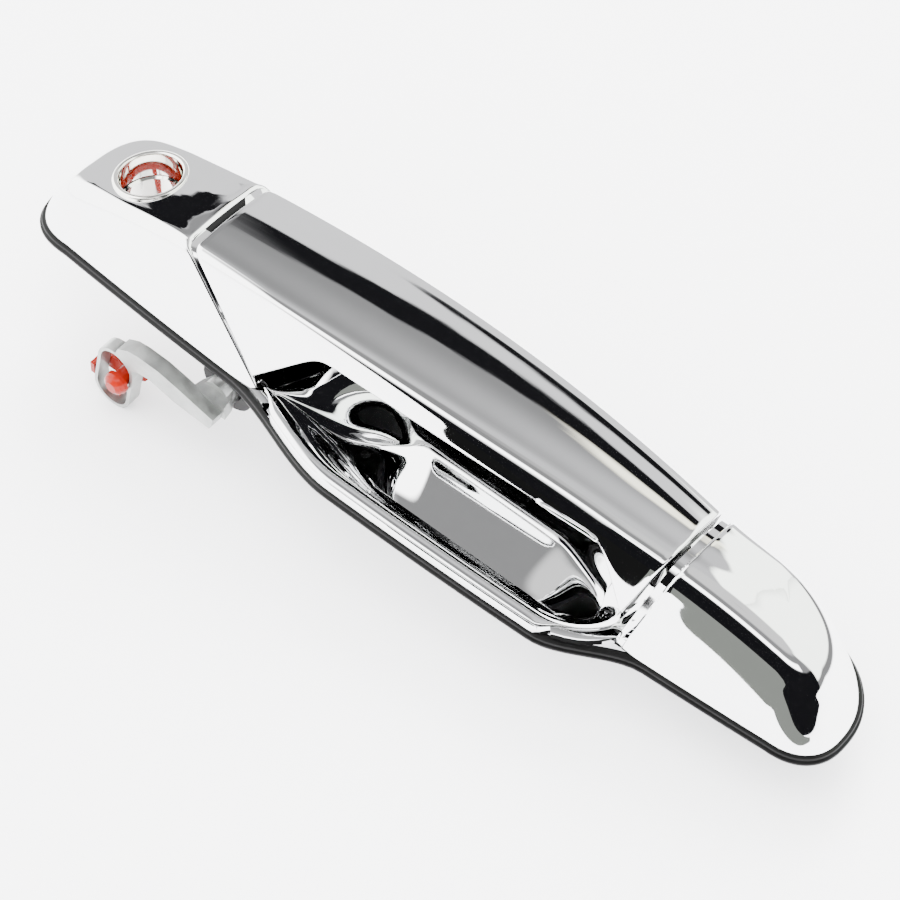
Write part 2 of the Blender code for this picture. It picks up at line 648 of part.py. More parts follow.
def build_carrier(mat):
    """Black frame inside the paddle: ribs, hinge knuckles and the arm that lifts the crank."""
    x0, x1, n = -60.0, 70.0, 20
    rings = []
    for i in range(n + 1):
        x = x0 + (x1 - x0) * i / n
        rear = back_line(x) - 8.6
        top = [(y, face_height(x, y) - SKIN - GAP) for y in (-0.8, 4.0, 9.0, rear)]
        top.insert(0, (-3.6, top[0][1] - 1.6))
        ring = [(-3.6, CARRIER_Z + 0.8)] + top + [(rear, CARRIER_Z), (9.0, CARRIER_Z), (4.0, CARRIER_Z)]
        rings.append([(x, y, z) for y, z in ring])
    at = Vector((0.0, HINGE_Y, HINGE_Z))
    carrier = mesh_object("paddle_carrier", *loft(rings), mat, at)
    pockets = []
    for k in range(6):
        a = x0 + 2.0 + k * 21.4
        for lo, hi in ((-1.8, 7.0), (8.6, 12.0)):
            pockets.append(box(a, a + 19.4, lo, hi, 5.0, 21.6))
    barrels = [rod("x", (HINGE_Y, HINGE_Z), [(KNUCKLE_R, a), (KNUCKLE_R, b)], 20) for a, b in KNUCKLES]
    necks = [box(a + 0.4, b - 0.4, HINGE_Y - 2.6, HINGE_Y + 1.2, HINGE_Z + 1.4, 16.2) for a, b in KNUCKLES]
    arm = extruded([(8.4, 13.0), (8.4, -18.2), (5.6, -18.2), (5.6, -21.0), (11.2, -21.0),
                    (11.2, 6.4), (HINGE_Y, 6.4), (HINGE_Y, 12.0), (12.0, 17.0), (8.4, 17.0)], "x", PUSH_X0, PUSH_X1)
    foot = box(-50.5, PUSH_X0 + 0.5, 5.6, 9.4, -21.0, -18.2)
    boolean(carrier, tool_object("tool_pockets", pockets), "DIFFERENCE")
    boolean(carrier, tool_object("tool_barrels", barrels), "UNION")
    boolean(carrier, tool_object("tool_necks", necks), "UNION")
    boolean(carrier, tool_object("tool_arm", [arm]), "UNION")
    boolean(carrier, tool_object("tool_foot", [foot]), "UNION")
    bores = [rod("x", (HINGE_Y, HINGE_Z), [(PIN_HOLE_R, x0 - 5), (PIN_HOLE_R, x1 + 5)], 16)]
    for x, y in SCREWS:
        bores.append(rod("z", (x, y), [(2.95, 20.0), (2.95, 40.0)], 16))
    boolean(carrier, tool_object("tool_carrier_bores", bores), "DIFFERENCE")
    return carrier


def build_screw(name, x, y, mat):
    """Screw from the frame into a post of the skin."""
    top = face_height(x, y)
    steps = [(2.9, 18.2), (3.6, 18.7), (3.6, 20.7), (1.15, 20.75), (1.15, top - 2.4)]
    return mesh_object(name, *rod("z", (x, y), steps, 16), mat, (0.0, HINGE_Y, HINGE_Z))


def build_hinge_pin(mat):
    """Steel pin the paddle turns on."""
    steps = [(1.1, PIN_X0), (PIN_R, PIN_X0 + 0.5), (PIN_R, PIN_X1 - 0.5), (1.1, PIN_X1)]
    return mesh_object("hinge_pin", *rod("x", (HINGE_Y, HINGE_Z), steps, 16), mat)


def build_hinge_clip(name, x, mat):
    """Snap ring at one end of the hinge pin."""
    shape = clip_outline((HINGE_Y, HINGE_Z), PIN_R + GAP, 3.0, 1.5)
    return mesh_object(name, *extruded(shape, "x", x, x + 0.8), mat)


# ---------------------------------------------------------------- lever

def slot_outline(half_width, half_length, n=9):
    """A tall rounded slot in X and Z, leaning with the eye."""
    lean = math.radians(EYE_TILT)
    points = []
    for end in (1.0, -1.0):
        for i in range(n + 1):
            a = math.pi * i / n
            u = end * half_width * math.cos(a)
            v = end * (half_length - half_width + half_width * math.sin(a))
            points.append((EYE_X + u * math.cos(lean) + v * math.sin(lean),
                           EYE_Z - u * math.sin(lean) + v * math.cos(lean)))
    return points


def build_lever(mat):
    """Cast bellcrank: eye, bar and shaft in one piece."""
    at = Vector((LEVER_X, 0.0, LEVER_Z))
    bar_line = [(-91.5, -14.0), (-90.4, -11.6), (-86.6, -9.4), (-83.0, -8.8), (-76.0, -9.0), (-69.0, -10.6),
                (-57.2, -13.8), (-58.8, -18.6), (-71.0, -17.8), (-80.0, -15.6), (-84.5, -16.4), (-87.0, -19.0)]
    lever = mesh_object("bellcrank_lever", *extruded(bar_line, "y", LEVER_Y0, LEVER_Y1), mat, at)
    eye = extruded(slot_outline(6.1, 12.4), "y", LEVER_Y0 + 0.01, LEVER_Y1 - 0.01)
    hole = extruded(slot_outline(5.1, 11.3), "y", LEVER_Y0 - 2, LEVER_Y1 + 2)
    neck = [[(LEVER_X + w * u, y, LEVER_Z + h * v) for u, v in
             ((-1, -1), (1, -1), (1, 1), (-1, 1))] for w, h, y in
            ((5.6, 2.4, -21.4), (4.9, 2.6, -18.0), (3.6, 2.8, -15.5), (2.8, 2.8, -12.0))]
    shaft = rod("y", (LEVER_X, LEVER_Z), [(SHAFT_R, -18.2), (SHAFT_R, 9.2), (SHAFT_R - 0.6, 9.8)], 24)
    boolean(lever, tool_object("tool_eye", [eye]), "UNION")
    boolean(lever, tool_object("tool_eye_hole", [hole]), "DIFFERENCE")
    boolean(lever, tool_object("tool_neck", [loft(neck)]), "UNION")
    boolean(lever, tool_object("tool_shaft", [shaft]), "UNION")
    return lever


def build_lever_bush(mat):
    """Flanged plastic bush in the housing's bearing."""
    inner = SHAFT_R + GAP
    profile = [(inner, -14.2), (8.2, -14.2), (8.2, -12.35), (BUSH_R, -12.35), (BUSH_R, -3.7), (inner, -3.7)]
    return mesh_object("lever_bush", *turned_ring("y", (LEVER_X, LEVER_Z), profile), mat)


def build_lever_crank(mat):
    """Inner crank on the shaft, with a wide pad over the paddle's foot."""
    at = Vector((LEVER_X, 0.0, LEVER_Z))
    crank = mesh_object("lever_crank", *rod("y", (LEVER_X, LEVER_Z), [(7.2, 1.0), (7.2, 7.0)], 24), mat, at)
    arm = box(LEVER_X + 2.0, -47.0, 1.4, 6.6, -16.5, -12.5)
    pad = box(-50.0, -43.0, -7.0, 7.8, -16.2, -13.2)
    bore = rod("y", (LEVER_X, LEVER_Z), [(SHAFT_R + GAP, -3.0), (SHAFT_R + GAP, 12.0)], 24)
    boolean(crank, tool_object("tool_crank_arm", [arm]), "UNION")
    boolean(crank, tool_object("tool_crank_pad", [pad]), "UNION")
    boolean(crank, tool_object("tool_crank_bore", [bore]), "DIFFERENCE")
    return crank


def build_lever_clip(mat):
    """Snap ring at the inner end of the lever's shaft."""
    shape = clip_outline((LEVER_X, LEVER_Z), SHAFT_R + GAP, 7.4, 1.4)
    at = (LEVER_X, 0.0, LEVER_Z)
    return mesh_object("lever_clip", *extruded(shape, "y", 7.4, 8.4), mat, at)


def build_rod_clip(mat):
    """Plastic rod clip in the lever's eye: knob, shank, rear plate and a side wing."""
    at = (CLIP_X, 0.0, CLIP_Z)
    steps = [(1.8, -28.8), (3.0, -28.0), (3.5, -26.8), (3.5, -25.6), (2.4, -25.3), (2.4, -19.6),
             (5.0, -19.5), (5.0, -17.2)]
    clip = mesh_object("rod_clip", *rod("y", (CLIP_X, CLIP_Z), steps, 16), mat, at)
    plate = box(-102.6, CLIP_X, -19.9, -17.6, -32.4, -27.0)
    wing = box(-102.5, -101.1, -24.2, -18.0, -32.2, -28.2)
    boolean(clip, tool_object("tool_clip_plate", [plate]), "UNION")
    boolean(clip, tool_object("tool_clip_wing", [wing]), "UNION")
    return clip


def main():
    """Clear the scene and build every piece."""
    for obj in list(bpy.data.objects):
        bpy.data.objects.remove(obj, do_unlink=True)
    chrome = material("chrome", (0.86, 0.87, 0.88), 0.05, 1.0)
    skin_chrome = material("chrome_paddle", (0.86, 0.87, 0.88), 0.04, 1.0)
    liner = material("chrome_liner", (0.80, 0.80, 0.79), 0.10, 1.0)
    black = material("black_plastic", (0.02, 0.02, 0.02), 0.55, 0.0)
    rubber = material("black_rubber", (0.012, 0.012, 0.013), 0.62, 0.0)
    zinc = material("cast_zinc", (0.62, 0.63, 0.62), 0.36, 1.0)
    steel = material("zinc_plated_steel", (0.66, 0.67, 0.69), 0.30, 1.0)
    spring = material("spring_steel", (0.42, 0.42, 0.44), 0.34, 1.0)
    orange = material("orange_plastic", (0.85, 0.08, 0.01), 0.32, 0.0)
    build_housing(chrome)
    build_gasket(rubber)
    build_lock_sleeve(liner)
    build_lock_retainer(orange)
    for name, (x, y) in zip(("stud_left", "stud_right"), STUDS):
        build_stud(name, x, y, steel)
    build_bumper("bumper_left", -20.0, rubber)
    build_bumper("bumper_right", 37.0, rubber)
    build_paddle_spring(spring)
    build_hinge_pin(steel)
    build_hinge_clip("hinge_clip_left", LUGS[0][0] - 1.2, spring)
    build_hinge_clip("hinge_clip_right", LUGS[-1][1] + 0.4, spring)
    build_paddle_skin(skin_chrome)
    build_carrier(black)
    for i, (x, y) in enumerate(SCREWS):
        build_screw(f"carrier_screw_{i + 1}", x, y, steel)
    build_lever(zinc)
    build_lever_bush(black)
    build_lever_crank(zinc)
    build_lever_spring(spring)
    build_lever_clip(spring)
    build_rod_clip(orange)


if __name__ == "__main__":
    main()
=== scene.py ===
"""Looks of a bright door handle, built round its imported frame.

Sizes are in millimetres in the handle's own frame: X along it from the lock end, +Y to the hinge, +Z away
from the door, z 0 at the underside of the bright housing. metres() moves them into the frame.
"""

import logging
import math
from dataclasses import dataclass
from enum import Enum
from typing import Any, Callable, Sequence

import bmesh
import bpy
from mathutils import Matrix, Vector
from mathutils.bvhtree import BVHTree


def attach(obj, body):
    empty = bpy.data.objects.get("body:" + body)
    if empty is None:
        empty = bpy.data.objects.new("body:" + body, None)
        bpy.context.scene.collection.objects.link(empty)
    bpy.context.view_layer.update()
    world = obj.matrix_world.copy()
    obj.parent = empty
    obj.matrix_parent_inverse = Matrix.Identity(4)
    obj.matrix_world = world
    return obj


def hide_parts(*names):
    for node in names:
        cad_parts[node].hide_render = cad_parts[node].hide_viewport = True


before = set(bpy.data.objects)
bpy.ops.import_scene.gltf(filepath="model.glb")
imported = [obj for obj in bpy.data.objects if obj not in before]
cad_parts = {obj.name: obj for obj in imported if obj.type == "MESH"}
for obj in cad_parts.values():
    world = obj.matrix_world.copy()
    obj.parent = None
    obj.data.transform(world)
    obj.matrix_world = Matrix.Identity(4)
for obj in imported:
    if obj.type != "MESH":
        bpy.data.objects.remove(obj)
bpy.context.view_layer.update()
LOG = logging.getLogger("door_handle")
MM = 0.001
DATUM = Vector((0.0, -27.9, 2.8))
UP = Vector((0.0, 0.0, 1.0))
Place = Callable[[float, float], Vector]


class Body(Enum):
    """The moving bodies of the handle."""

    HOUSING = "housing"
    PADDLE = "paddle"
    LEVER = "lever"
    ROD_CLIP = "rod_clip"


class Side(Enum):
    """The two long sides of the plan outline."""

    FRONT = 0
    REAR = 1


def metres(point: Sequence[float]) -> Vector:
    """A handle point in millimetres, in the frame's metres."""
    return (Vector(point) + DATUM) * MM


def smooth(t: float) -> float:
    """A soft step from 0 to 1."""
    t = min(1.0, max(0.0, t))
    return t * t * (3.0 - 2.0 * t)


def mix(a: float, b: float, t: float) -> float:
    """A number between a and b."""
    return a + (b - a) * t


def flow(points: Sequence[Vector], t: float) -> Vector:
    """A point on a smooth curve that is drawn by control points and starts and ends on them.

    Args:
        points: The control points.
        t: The place along the curve, from 0 to 1.

    Returns:
        The point.
    """
    held = [points[0]] * 2 + list(points) + [points[-1]] * 2
    spans = len(held) - 3
    at = min(max(t, 0.0), 1.0) * spans
    k = min(int(at), spans - 1)
    u = at - k
    weights = ((1 - u) ** 3, 3 * u ** 3 - 6 * u * u + 4, -3 * u ** 3 + 3 * u * u + 3 * u + 1, u ** 3)
    return sum((held[k + n] * (weights[n] / 6.0) for n in range(4)), Vector((0.0, 0.0, 0.0)))


def turned(edge: Vector, back: Vector, down: Vector, radius: float, share: float) -> Vector:
    """A point on a rounded edge.

    Args:
        edge: Where the surface starts to turn.
        back: The way along the surface, away from the edge.
        down: The way the surface goes after the turn.
        radius: The rounding's radius.
        share: 0 at the start of the turn, 1 at its end.

    Returns:
        The point.
    """
    a = math.pi / 2 * share
    return edge - back * (radius * math.sin(a)) + down * (radius * (1.0 - math.cos(a)))


@dataclass(frozen=True)
class Form:
    """The handle's outer form, in millimetres: X along it, +Y to the hinge, +Z away from the door."""

    gap_left: float = -78.4
    gap_right: float = 77.0
    gap_height: float = 27.0
    left_lean: float = 1.19
    right_lean: float = 0.27
    face_fall: float = 0.09
    wall_lean: float = 4.5
    belly: float = 9.6
    lock_x: float = -103.5
    lock_y: float = 4.4

    def front_line(self, x: float) -> float:
        """Foot of the front wall."""
        return -19.5 + 5.5 * ((x - 10.0) / 135.0) ** 2

    def belly_line(self, x: float) -> float:
        """Foot of the front wall with the belly in front of the finger bowl."""
        return self.front_line(x) - self.belly * smooth((x + 58.0) / 44.0) * smooth((80.0 - x) / 28.0)

    def rear_edge(self, x: float) -> float:
        """Rear edge of the face."""
        if x < self.gap_left:
            return 19.8 - 0.54 * (1.0 - math.exp((x - self.gap_left) / 5.0))
        if x > self.gap_right:
            return 15.8 - 0.03 * (x - self.gap_right) - 0.7 * (1.0 - math.exp((self.gap_right - x) / 5.0))
        return 23.4 - (0.00082 if x < -12.0 else 0.00096) * (x + 12.0) ** 2

    def back_line(self, x: float) -> float:
        """Foot of the rear wall."""
        return self.rear_edge(x) + self.wall_lean

    def crest_line(self, x: float) -> float:
        """Front edge of the face."""
        return -8.0 + 0.016 * x

    def crest_height(self, x: float) -> float:
        """Height of the face's front edge."""
        if x < self.gap_left:
            d = self.gap_left - x
            return self.gap_height - 0.25 * d + 1.7 * (1.0 - math.exp(-d / 8.0))
        if x > self.gap_right:
            d = x - self.gap_right
            return self.gap_height - 0.039 * d - 0.0035 * d * d
        return self.gap_height + 1.5 * (1.0 - (x / 77.25) ** 2)

    def face_height(self, x: float, y: float) -> float:
        """Height of the face."""
        return self.crest_height(x) - self.face_fall * (y + 8.0)

    def crest_round(self, x: float) -> float:
        """Size of the rounding along the crest."""
        return 4.8 + 2.7 * smooth((x + 78.0) / 155.0) + 2.2 * smooth((-x - 100.0) / 18.0)

    def left_edge(self, y: float, z: float) -> float:
        """The left gap plane's place along the handle."""
        return self.gap_left + self.left_lean * max(0.0, self.gap_height - self.face_fall * (y + 8.0) - z)

    def right_edge(self, y: float, z: float) -> float:
        """The right gap plane's place along the handle."""
        return self.gap_right - self.right_lean * max(0.0, self.gap_height - self.face_fall * (y + 8.0) - z)

    def wall(self, x: float, z: float) -> Vector:
        """A point on the front wall at a height."""
        front, top = self.front_line(x), self.crest_height(x)
        return Vector((x, front + (self.crest_line(x) - front) * z / top, z))


FORM = Form()


@dataclass(frozen=True)
class Level:
    """One plan outline of the handle: its ends, its lines and how far its corners reach in."""

    ends: tuple[float, float]
    mids: tuple[float, float]
    lines: tuple[Callable[[float], float], Callable[[float], float]]
    reaches: tuple[tuple[float, float], tuple[float, float]]
    fulls: tuple[float, float] = (0.76, 0.88)

    def corner(self, end: int, side: Side, u: float) -> tuple[float, float]:
        """A plan point on a corner, from the middle of the end at u 0 to the long side at u 1."""
        reach = self.reaches[side.value][end] * (1.0 if end == 0 else -1.0)
        edge = self.lines[side.value](self.ends[end] + reach)
        a, full = math.pi / 2 * min(1.0, u), self.fulls[end]
        along = max(0.0, math.cos(a)) ** full
        across = max(0.0, math.sin(a)) ** full
        return self.ends[end] + reach * (1.0 - along), mix(self.mids[end], edge, across)

    def start(self, end: int, side: Side) -> float:
        """Where a long side's straight part meets the corner."""
        return self.ends[end] + self.reaches[side.value][end] * (1.0 if end == 0 else -1.0)


def foot_level(grow: float, front: Callable[[float], float]) -> Level:
    """The outline of the foot, grown outwards."""
    return Level((-131.0 - grow, 128.9 + grow), (-2.0, -5.0),
                 (lambda x: front(x) - grow, lambda x: FORM.back_line(x) + grow),
                 ((14.0 + grow, 13.0 + grow), (22.0 + grow, 33.0 + grow)))


def crest_level(grow: float) -> Level:
    """The outline where the face would meet the walls without its rounding."""
    return Level((-123.0 - grow, 119.5 + grow), (0.0, -1.0),
                 (lambda x: FORM.crest_line(x) - grow, lambda x: FORM.rear_edge(x) + grow),
                 ((8.0 + grow, 10.0 + grow), (15.0 + grow, 26.0 + grow)))


# ---------------------------------------------------------------- meshes

def curved_grid(columns: int, rows: int, place: Place, gap_shade_columns: int = 0) -> bmesh.types.BMesh:
    """A grid bent into a surface.

    Args:
        columns: Faces along the first direction.
        rows: Faces along the second direction.
        place: Gives the point in millimetres at two shares from 0 to 1.
        gap_shade_columns: Columns at either end that take the second material, which on the skins is black
            painted shade deep in a gap.

    Returns:
        The mesh, with touching points merged.
    """
    bm = bmesh.new()
    bmesh.ops.create_grid(bm, x_segments=columns, y_segments=rows, size=0.5)
    for face in bm.faces:
        if abs(face.calc_center_median().x) > 0.5 - gap_shade_columns / columns:
            face.material_index = 1
    for vert in bm.verts:
        vert.co = metres(place(vert.co.x + 0.5, vert.co.y + 0.5))
    bmesh.ops.remove_doubles(bm, verts=bm.verts, dist=1e-6)
    bmesh.ops.dissolve_degenerate(bm, dist=1e-7, edges=bm.edges)
    return bm


def face_up(bm: bmesh.types.BMesh) -> bmesh.types.BMesh:
    """Turn an open sheet so that it mostly looks away from the door."""
    bmesh.ops.recalc_face_normals(bm, faces=bm.faces)
    if sum(face.normal.z * face.calc_area() for face in bm.faces) < 0.0:
        bmesh.ops.reverse_faces(bm, faces=bm.faces)
    return bm


def lathe(profile: Sequence[tuple[float, float]], centre: Vector, axis: Vector,
          steps: int) -> bmesh.types.BMesh:
    """A closed turned form.

    Args:
        profile: Radius and place along the axis, in millimetres, of each point of a closed section.
        centre: The axis's place.
        axis: The axis's direction.
        steps: Faces round the axis.

    Returns:
        The mesh, facing outwards.
    """
    turn = axis.to_track_quat("Z", "Y").to_matrix()
    bm = bmesh.new()
    verts = [bm.verts.new(metres(centre + turn @ Vector((r, 0.0, z)))) for r, z in profile]
    edges = [bm.edges.new((a, b)) for a, b in zip(verts, verts[1:] + verts[:1])]
    bmesh.ops.spin(bm, geom=verts + edges, cent=metres(centre), axis=axis, angle=math.tau,
                   steps=steps, use_merge=True)
    bmesh.ops.remove_doubles(bm, verts=bm.verts, dist=1e-6)
    bmesh.ops.recalc_face_normals(bm, faces=bm.faces)
    return bm


@dataclass
class Piece:
    """A finished piece on its way into the scene."""

    name: str
    body: Body
    slot: str
    material: bpy.types.Material
    stands_for: tuple[str, ...] = ()
    # gap_shade: black material for the deepest gap walls, painted shade in the gaps between parts
    gap_shade: tuple[bpy.types.Material, ...] = ()

    def add(self, bm: bmesh.types.BMesh, crease: float = 180.0) -> bpy.types.Object:
        """Make the object, dress it and set it on its body.

        Args:
            bm: The mesh, which is used up.
            crease: Edges sharper than this many degrees stay sharp.

        Returns:
            The object.
        """
        mesh = bpy.data.meshes.new(self.name)
        bm.to_mesh(mesh)
        bm.free()
        mesh.shade_smooth()
        if crease < 180.0:
            mesh.set_sharp_from_angle(angle=math.radians(crease))
        for material in (self.material, *self.gap_shade):
            mesh.materials.append(material)
        obj = bpy.data.objects.new(self.name, mesh)
        bpy.context.scene.collection.objects.link(obj)
        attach(obj, self.body.value)
        if self.stands_for:
            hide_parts(*self.stands_for)
        LOG.info("%s: %d faces on %s", self.name, len(mesh.polygons), self.body.value)
        return obj


def thicken(obj: bpy.types.Object, thickness: float) -> None:
    """Give a sheet a wall that grows inwards, in millimetres."""
    wall = obj.modifiers.new("wall", "SOLIDIFY")
    wall.thickness = thickness * MM
    wall.offset = -1.0


def soften(obj: bpy.types.Object, width: float, segments: int = 3, angle: float = 40.0) -> None:
    """Round every edge sharper than an angle, in millimetres and degrees."""
    bevel = obj.modifiers.new("soft_edges", "BEVEL")
    bevel.width = width * MM
    bevel.segments = segments
    bevel.limit_method = "ANGLE"
    bevel.angle_limit = math.radians(angle)
    bevel.harden_normals = True
    bevel.profile = 0.5


def cut(obj: bpy.types.Object, tool: bmesh.types.BMesh) -> None:
    """Cut a closed tool out of an object, with what is already on its modifier list applied."""
    tool_mesh = bpy.data.meshes.new("cutter")
    tool.to_mesh(tool_mesh)
    tool.free()
    cutter = bpy.data.objects.new("cutter", tool_mesh)
    bpy.context.scene.collection.objects.link(cutter)
    knife = obj.modifiers.new("hole", "BOOLEAN")
    knife.operation = "DIFFERENCE"
    knife.object = cutter
    shape = bpy.data.meshes.new_from_object(obj.evaluated_get(bpy.context.evaluated_depsgraph_get()))
    obj.modifiers.clear()
    obj.data = shape
    bpy.data.objects.remove(cutter)


# ---------------------------------------------------------------- shader nodes

class Signal:
    """A shader number that works in Python expressions."""

    def __init__(self, graph: "Graph", socket: bpy.types.NodeSocket) -> None:
        """Wrap a socket."""
        self.graph, self.socket = graph, socket

    def maths(self, operation: str, *values: Any) -> "Signal":
        """The result of a Math node."""
        node = self.graph.node("ShaderNodeMath", {"operation": operation}, dict(enumerate(values)))
        return Signal(self.graph, node.outputs[0])

    def __add__(self, other: Any) -> "Signal":
        """Self plus other."""
        return self.maths("ADD", self, other)

    __radd__ = __add__

    def __sub__(self, other: Any) -> "Signal":
        """Self minus other."""
        return self.maths("SUBTRACT", self, other)

    def __rsub__(self, other: Any) -> "Signal":
        """Other minus self."""
        return self.maths("SUBTRACT", other, self)

    def __mul__(self, other: Any) -> "Signal":
        """Self times other."""
        return self.maths("MULTIPLY", self, other)

    __rmul__ = __mul__

    def clamp(self) -> "Signal":
        """Self held between 0 and 1."""
        return self.maths("MINIMUM", self.maths("MAXIMUM", self, 0.0), 1.0)

    def ramp(self, low: float, high: float) -> "Signal":
        """A soft step from 0 at low to 1 at high, which may be under low."""
        node = self.graph.node("ShaderNodeMapRange", {"interpolation_type": "SMOOTHSTEP"},
                               {"Value": self, "From Min": min(low, high), "From Max": max(low, high),
                                "To Min": 0.0 if low < high else 1.0, "To Max": 1.0 if low < high else 0.0})
        return Signal(self.graph, node.outputs[0])

    def band(self, low: float, high: float, soft: float) -> "Signal":
        """1 between low and high, with soft sides."""
        return self.ramp(low - soft, low + soft) * self.ramp(high + soft, high - soft)


class Graph:
    """A node tree that is emptied and filled again."""

    def __init__(self, owner: Any) -> None:
        """Take over a material's or a world's nodes."""
        owner.use_nodes = True
        self.tree = owner.node_tree
        self.tree.nodes.clear()

    def node(self, kind: str, settings: dict[str, Any] | None = None,
             sockets: dict[Any, Any] | None = None) -> bpy.types.Node:
        """Add a node.

        Args:
            kind: The node's type.
            settings: Its own settings, set before its sockets.
            sockets: A value, a socket or a Signal for each input, by name or number.

        Returns:
            The node.
        """
        node = self.tree.nodes.new(kind)
        for key, value in (settings or {}).items():
            setattr(node, key, value)
        for key, value in (sockets or {}).items():
            value = value.socket if isinstance(value, Signal) else value
            if isinstance(value, bpy.types.NodeSocket):
                self.tree.links.new(value, node.inputs[key])
            else:
                node.inputs[key].default_value = value
        return node

    def noise(self, scale: float, detail: float = 4.0, stretch: Sequence[float] = (1.0, 1.0, 1.0)) -> Signal:
        """Noise on Object coordinates, with features about 1 / scale metres long."""
        place = self.node("ShaderNodeTexCoord").outputs["Object"]
        place = self.node("ShaderNodeMapping", None, {"Vector": place, "Scale": stretch}).outputs[0]
        node = self.node("ShaderNodeTexNoise", None, {"Vector": place, "Scale": scale, "Detail": detail})
        return Signal(self, node.outputs[0])

    def blend(self, factor: Any, first: Any, second: Any) -> bpy.types.NodeSocket:
        """A colour between two others."""
        node = self.node("ShaderNodeMix", {"data_type": "RGBA"}, {0: factor, 6: first, 7: second})
        return node.outputs[2]

    def shader(self, sockets: dict[str, Any]) -> None:
        """End the tree in a Principled shader."""
        node = self.node("ShaderNodeBsdfPrincipled", None, sockets)
        self.node("ShaderNodeOutputMaterial", None, {"Surface": node.outputs[0]})


def rgba(colour: Sequence[float], share: float = 1.0) -> tuple[float, float, float, float]:
    """A colour made lighter or darker, with full alpha."""
    return colour[0] * share, colour[1] * share, colour[2] * share, 1.0


@dataclass(frozen=True)
class Finish:
    """A surface with fine grain, slow shade changes and rougher or smoother patches.

    Sizes are in millimetres. Grain is the fine bump's height, ripple a broad unevenness of the form.
    """

    name: str
    colour: tuple[float, float, float]
    metallic: float = 0.0
    roughness: float = 0.4
    uneven: float = 0.08
    shade: float = 0.12
    grain: float = 0.01
    grain_size: float = 0.4
    ripple: float = 0.0
    ripple_size: float = 12.0
    specular: float = 0.5

    def make(self) -> bpy.types.Material:
        """Build the material."""
        material = bpy.data.materials.new(self.name)
        graph = Graph(material)
        broad = graph.noise(1000.0 / 9.0, 3.0)
        fine = graph.noise(1000.0 / self.grain_size, 2.0)
        patch = graph.noise(1000.0 / 2.6, 5.0)
        shade = (broad * 0.6 + patch * 0.4).ramp(0.25, 0.75)
        colour = graph.blend(shade, rgba(self.colour, 1.0 - self.shade), rgba(self.colour, 1.0 + self.shade))
        rough = self.roughness + (patch - 0.5) * self.uneven * 2.0
        height = fine * self.grain
        if self.ripple:
            height = height + graph.noise(1000.0 / self.ripple_size, 1.0, (0.35, 1.0, 1.0)) * self.ripple
        bump = graph.node("ShaderNodeBump", None, {"Height": height, "Distance": MM, "Strength": 1.0})
        graph.shader({"Base Color": colour, "Metallic": self.metallic, "Roughness": rough.clamp(),
                      "Normal": bump.outputs[0], "Specular IOR Level": self.specular})
        return material


class Finishes:
    """Every finish of the handle, by its slot in the record."""

    def __init__(self) -> None:
        """Make the materials."""
        bright = (0.93, 0.935, 0.94)
        finishes = (
            Finish("chrome", bright, 1.0, 0.025, 0.012, 0.015, 0.0004, 0.5, 0.010, 14.0),
            Finish("chrome_paddle", bright, 1.0, 0.022, 0.012, 0.015, 0.0004, 0.5, 0.016, 16.0),
            Finish("chrome_liner", (0.86, 0.85, 0.80), 1.0, 0.07, 0.03, 0.05, 0.002, 0.6),
            Finish("black_plastic", (0.0040, 0.0040, 0.0043), 0.0, 0.42, 0.08, 0.3, 0.012, 0.35,
                   specular=0.12),
            Finish("black_rubber", (0.0022, 0.0022, 0.0022), 0.0, 0.34, 0.1, 0.35, 0.010, 0.5, specular=0.12),
            Finish("cast_zinc", (0.36, 0.37, 0.36), 1.0, 0.36, 0.12, 0.22, 0.035, 0.7, 0.02, 5.0),
            Finish("zinc_plated_steel", (0.68, 0.69, 0.70), 1.0, 0.24, 0.1, 0.12, 0.004, 0.3),
            Finish("spring_steel", (0.42, 0.42, 0.43), 1.0, 0.28, 0.1, 0.2, 0.004, 0.3),
            Finish("orange_plastic", (0.20, 0.006, 0.001), 0.0, 0.16, 0.05, 0.15, 0.006, 0.8,
                   specular=0.2),
        )
        self.by_slot = {finish.name: finish.make() for finish in finishes}

    def __getitem__(self, slot: str) -> bpy.types.Material:
        """The material of a slot."""
        return self.by_slot[slot]


# ---------------------------------------------------------------- the housing's bright skins

